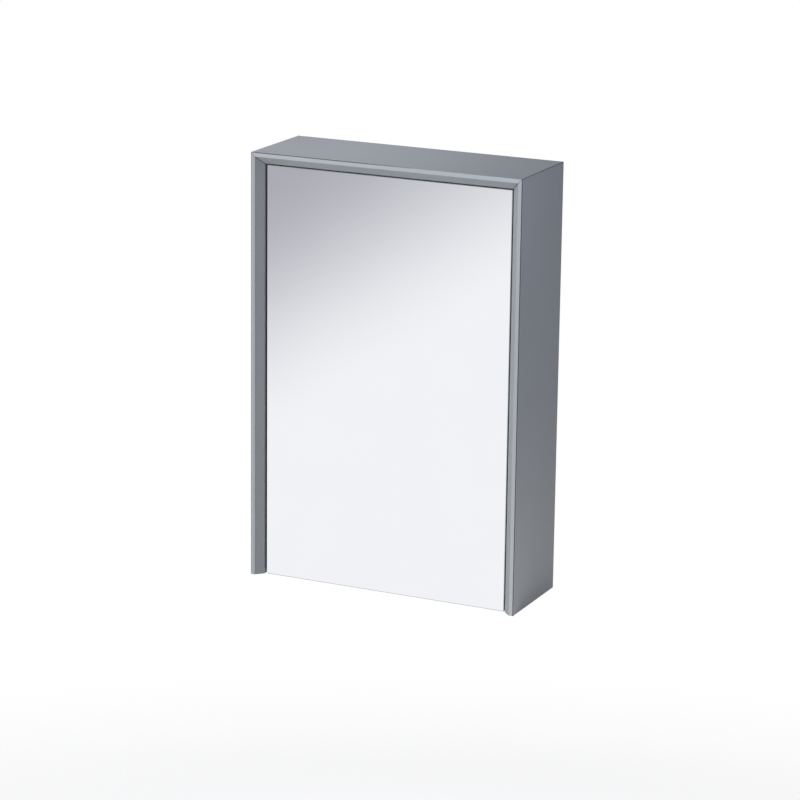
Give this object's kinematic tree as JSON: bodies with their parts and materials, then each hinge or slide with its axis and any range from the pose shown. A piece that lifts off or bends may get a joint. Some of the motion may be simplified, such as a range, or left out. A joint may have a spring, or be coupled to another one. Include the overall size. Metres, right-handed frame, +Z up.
{
  "type": "mirror cabinet",
  "caption": "Wall-hung cabinet of mitred lacquered board with a bevelled front edge, an inset frameless mirror door on pivot pins, glass shelves and a hidden wall rail.",
  "frame": {"origin": "on the wall, midway between the two screw holes of the wall rail", "axes": "+X to the right seen from the room, +Y into the wall, +Z up"},
  "size_m": [0.4, 0.14, 0.6],
  "materials": {
    "lacquered_board": "satin cool grey lacquer on fibreboard",
    "thin_board": "satin grey thin board",
    "mirror_glass": "silvered float glass with polished edges",
    "shelf_glass": "clear float glass with polished edges",
    "foam_tape": "white foam tape",
    "beech": "bare beech",
    "zinc_steel": "zinc plated sheet steel",
    "screw_steel": "zinc plated steel",
    "cast_zinc": "die-cast zinc",
    "pin_steel": "ground steel",
    "bush_brass": "turned brass",
    "nylon": "light grey nylon",
    "magnet": "nickel plated magnet",
    "silicone": "clear silicone"
  },
  "bodies": {
    "cabinet": {"back_panel": "thin_board", "back_panel_screws": "screw_steel", "bottom_dowels": "beech", "bottom_panel": "lacquered_board", "cam_bolts": "screw_steel", "cam_locks": "cast_zinc", "catch_magnet": "magnet", "catch_sleeve": "nylon", "door_bumpers": "silicone", "glass_shelf_lower": "shelf_glass", "glass_shelf_upper": "shelf_glass", "hanger_adjust_screws": "screw_steel", "hanger_fixing_screws": "screw_steel", "hanger_hook_left": "zinc_steel", "hanger_hook_right": "zinc_steel", "hanger_housing_left": "nylon", "hanger_housing_right": "nylon", "mitre_splines": "beech", "pivot_bracket_lower": "zinc_steel", "pivot_bracket_screws": "screw_steel", "pivot_bracket_upper": "zinc_steel", "pivot_pins": "pin_steel", "shelf_pads": "silicone", "shelf_pins": "screw_steel", "side_panel_left": "lacquered_board", "side_panel_right": "lacquered_board", "top_panel": "lacquered_board", "wall_rail": "zinc_steel"},
    "door": {"door_panel": "lacquered_board", "mirror_glass": "mirror_glass", "mirror_tape": "foam_tape", "pivot_bushes": "bush_brass", "strike_plate": "zinc_steel", "strike_screw": "screw_steel"}
  },
  "joints": [
    {"name": "door_swing", "type": "hinge", "parent": "cabinet", "child": "door", "pos_m": [-0.1655, -0.119, -0.249], "axis": [0, 0, -1], "range_deg": [0, 105]}
  ]
}
